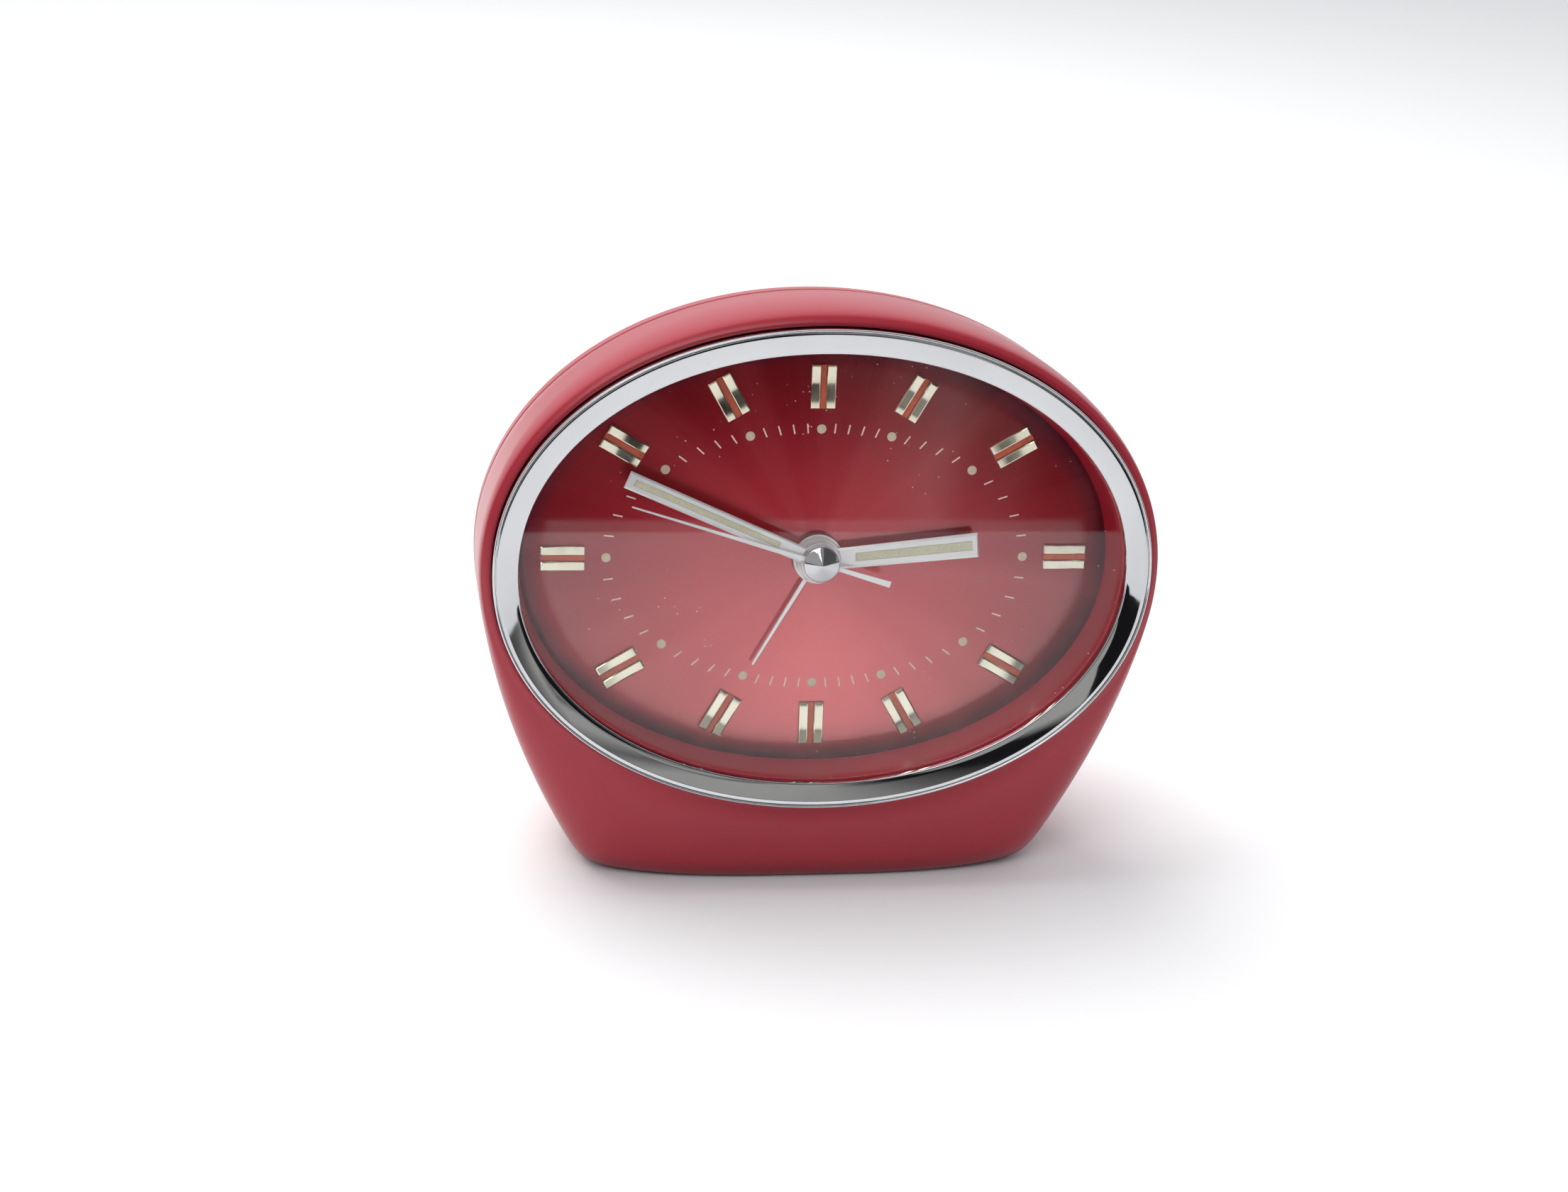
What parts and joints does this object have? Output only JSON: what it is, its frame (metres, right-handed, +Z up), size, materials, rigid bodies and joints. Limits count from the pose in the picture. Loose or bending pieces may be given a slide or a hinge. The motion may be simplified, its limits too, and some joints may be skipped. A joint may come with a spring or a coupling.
{
  "type": "wind-up alarm clock",
  "caption": "Oval red bedside alarm clock with a chrome ring, baton markers, hands, winding keys and a working gear train.",
  "frame": {"origin": "centre of the bounding box at the table surface the clock stands on", "axes": "+X across the clock to the right as its dial is read, -Y towards the person reading it, +Z up"},
  "size_m": [0.1184, 0.0718, 0.1012],
  "materials": {
    "red_case": "gloss",
    "red_ring": "gloss",
    "dial_lacquer": "metallic sunburst lacquer",
    "bezel_chrome": "polished",
    "lens_clear": "clear",
    "marker_metal": "polished",
    "stripe_paint": "satin",
    "cream_print": "matte",
    "luminous": "matte",
    "hand_metal": "polished",
    "brass": "brushed",
    "steel": "satin",
    "blued": "blued",
    "ruby": "polished",
    "bell_metal": "nickel plated",
    "key_brass": "polished",
    "knob_brass": "knurled"
  },
  "bodies": {
    "clock": {"front_case": "red_case", "rear_case": "red_case", "bezel": "bezel_chrome", "lens": "lens_clear", "dial_ring": "red_ring", "dial_plate": "dial_lacquer", "hour_markers": "marker_metal", "marker_stripes": "stripe_paint", "minute_dots": "cream_print", "minute_ticks": "cream_print", "front_plate": "brass", "rear_plate": "brass", "plate_pillars": "steel", "plate_nuts": "steel", "movement_screws": "steel", "case_posts": "steel", "case_screws": "steel", "balance_jewels": "ruby", "hairspring": "blued", "bell": "bell_metal", "bell_post": "steel", "time_mainspring": "blued", "alarm_mainspring": "blued", "alarm_trip_spring": "brass"},
    "minute_hand": {"cannon_pinion": "steel", "minute_hand": "hand_metal", "minute_lume": "luminous"},
    "hour_hand": {"hour_wheel": "brass", "hour_hand": "hand_metal", "hour_lume": "luminous"},
    "minute_wheel": {"minute_wheel": "brass"},
    "time_setting": {"time_set_arbor": "steel", "time_set_knob": "knob_brass"},
    "seconds": {"fourth_wheel": "brass", "second_hand": "hand_metal", "hub_cap": "hand_metal"},
    "third": {"third_wheel": "brass"},
    "centre": {"centre_arbor": "steel", "centre_wheel": "brass"},
    "great": {"great_wheel": "brass"},
    "escape": {"escape_wheel": "brass"},
    "lever": {"pallet_lever": "steel"},
    "balance": {"balance_wheel": "brass"},
    "time_winder": {"time_arbor": "steel", "time_ratchet": "steel", "time_key": "key_brass"},
    "time_click": {"time_click": "steel"},
    "alarm_great": {"alarm_great_wheel": "brass"},
    "alarm_escape": {"alarm_escape_wheel": "brass"},
    "alarm_winder": {"alarm_arbor": "steel", "alarm_ratchet": "steel", "alarm_key": "key_brass"},
    "alarm_click": {"alarm_click": "steel"},
    "hammer": {"alarm_hammer": "steel"},
    "alarm_hand": {"alarm_wheel": "brass", "alarm_hand": "hand_metal"},
    "alarm_setting": {"alarm_set_arbor": "steel", "alarm_set_knob": "knob_brass"},
    "regulator": {"regulator_lever": "steel"},
    "stop_button": {"alarm_stop_button": "hand_metal"}
  },
  "joints": [
    {"name": "minute_hand_turn", "type": "hinge", "parent": "clock", "child": "minute_hand", "pos_m": [0, -0.01748, 0.05563], "axis": [0, -0.9925, 0.1219], "continuous": true},
    {"name": "hour_hand_turn", "type": "hinge", "parent": "clock", "child": "hour_hand", "pos_m": [0, -0.01748, 0.05563], "axis": [0, -0.9925, 0.1219], "continuous": true},
    {"name": "minute_wheel_turn", "type": "hinge", "parent": "clock", "child": "minute_wheel", "pos_m": [0.00945, -0.01471, 0.05361], "axis": [0, -0.9925, 0.1219], "continuous": true},
    {"name": "time_set_knob_turn", "type": "hinge", "parent": "clock", "child": "time_setting", "pos_m": [0.01873, 0.00148, 0.05412], "axis": [0, -0.9925, 0.1219], "continuous": true},
    {"name": "second_hand_turn", "type": "hinge", "parent": "clock", "child": "seconds", "pos_m": [0, -0.00359, 0.05392], "axis": [0, -0.9925, 0.1219], "continuous": true},
    {"name": "third_wheel_turn", "type": "hinge", "parent": "clock", "child": "third", "pos_m": [0.00688, -0.00437, 0.06392], "axis": [0, -0.9925, 0.1219], "continuous": true},
    {"name": "centre_wheel_turn", "type": "hinge", "parent": "clock", "child": "centre", "pos_m": [0, -0.00756, 0.05441], "axis": [0, -0.9925, 0.1219], "continuous": true},
    {"name": "great_wheel_turn", "type": "hinge", "parent": "clock", "child": "great", "pos_m": [-0.01595, -0.01129, 0.0388], "axis": [0, -0.9925, 0.1219], "continuous": true},
    {"name": "escape_wheel_turn", "type": "hinge", "parent": "clock", "child": "escape", "pos_m": [-0.01077, 0, 0.05854], "axis": [0, -0.9925, 0.1219], "continuous": true},
    {"name": "balance_swing", "type": "hinge", "parent": "clock", "child": "balance", "pos_m": [-0.02545, -0.00214, 0.0657], "axis": [0, -0.9925, 0.1219], "range_deg": [-30, 30], "stiffness_Nm_per_rad": 0.000015, "deforming": ["hairspring"]},
    {"name": "lever_rock", "type": "hinge", "parent": "clock", "child": "lever", "pos_m": [-0.01639, 0.00231, 0.0609], "axis": [0, -0.9925, 0.1219], "range_deg": [-4.7, 4.7]},
    {"name": "time_key_wind", "type": "hinge", "parent": "great", "child": "time_winder", "pos_m": [-0.01595, 0.00936, 0.03627], "axis": [0, -0.9925, 0.1219], "range_deg": [-1080, 0], "deforming": ["time_mainspring"]},
    {"name": "time_click_lift", "type": "hinge", "parent": "great", "child": "time_click", "pos_m": [-0.02445, -0.0097, 0.03861], "axis": [0, -0.9925, 0.1219], "range_deg": [0, 12], "stiffness_Nm_per_rad": 0.0001},
    {"name": "alarm_wheel_turn", "type": "hinge", "parent": "clock", "child": "alarm_great", "pos_m": [0.018, -0.01105, 0.04073], "axis": [0, -0.9925, 0.1219], "continuous": true},
    {"name": "alarm_escape_turn", "type": "hinge", "parent": "clock", "child": "alarm_escape", "pos_m": [0.02861, -0.00698, 0.05092], "axis": [0, -0.9925, 0.1219], "continuous": true},
    {"name": "alarm_key_wind", "type": "hinge", "parent": "alarm_great", "child": "alarm_winder", "pos_m": [0.018, 0.0096, 0.0382], "axis": [0, -0.9925, 0.1219], "range_deg": [-1080, 0], "deforming": ["alarm_mainspring"]},
    {"name": "alarm_click_lift", "type": "hinge", "parent": "alarm_great", "child": "alarm_click", "pos_m": [0.0095, -0.00946, 0.04054], "axis": [0, -0.9925, 0.1219], "range_deg": [0, 12], "stiffness_Nm_per_rad": 0.0001},
    {"name": "hammer_swing", "type": "hinge", "parent": "clock", "child": "hammer", "pos_m": [0.031, 0.00217, 0.05976], "axis": [0, -0.9925, 0.1219], "range_deg": [-6, 7], "stiffness_Nm_per_rad": 0.001},
    {"name": "alarm_hand_turn", "type": "hinge", "parent": "clock", "child": "alarm_hand", "pos_m": [0, -0.01847, 0.05575], "axis": [0, -0.9925, 0.1219], "continuous": true},
    {"name": "alarm_set_knob_turn", "type": "hinge", "parent": "clock", "child": "alarm_setting", "pos_m": [-0.006, 0.00264, 0.06363], "axis": [0, -0.9925, 0.1219], "continuous": true},
    {"name": "regulator_swing", "type": "hinge", "parent": "clock", "child": "regulator", "pos_m": [-0.02545, 0.00977, 0.06424], "axis": [0, -0.9925, 0.1219], "range_deg": [-20, 20]},
    {"name": "alarm_stop_press", "type": "slide", "parent": "clock", "child": "stop_button", "axis": [0, -0.9925, 0.1219], "range_m": [0, 0.003]}
  ],
  "couplings": [
    {"joint": "hour_hand_turn", "follows": "minute_hand_turn", "ratio": 0.083333},
    {"joint": "minute_wheel_turn", "follows": "minute_hand_turn", "ratio": -0.33333},
    {"joint": "time_set_knob_turn", "follows": "minute_hand_turn", "ratio": 1},
    {"joint": "third_wheel_turn", "follows": "second_hand_turn", "ratio": -0.13333},
    {"joint": "centre_wheel_turn", "follows": "second_hand_turn", "ratio": 0.016667},
    {"joint": "great_wheel_turn", "follows": "second_hand_turn", "ratio": -0.0023148},
    {"joint": "escape_wheel_turn", "follows": "second_hand_turn", "ratio": -8},
    {"joint": "lever_rock", "follows": "balance_swing", "ratio": -0.156},
    {"joint": "alarm_escape_turn", "follows": "alarm_wheel_turn", "ratio": -6.5},
    {"joint": "alarm_set_knob_turn", "follows": "alarm_hand_turn", "ratio": -4}
  ]
}
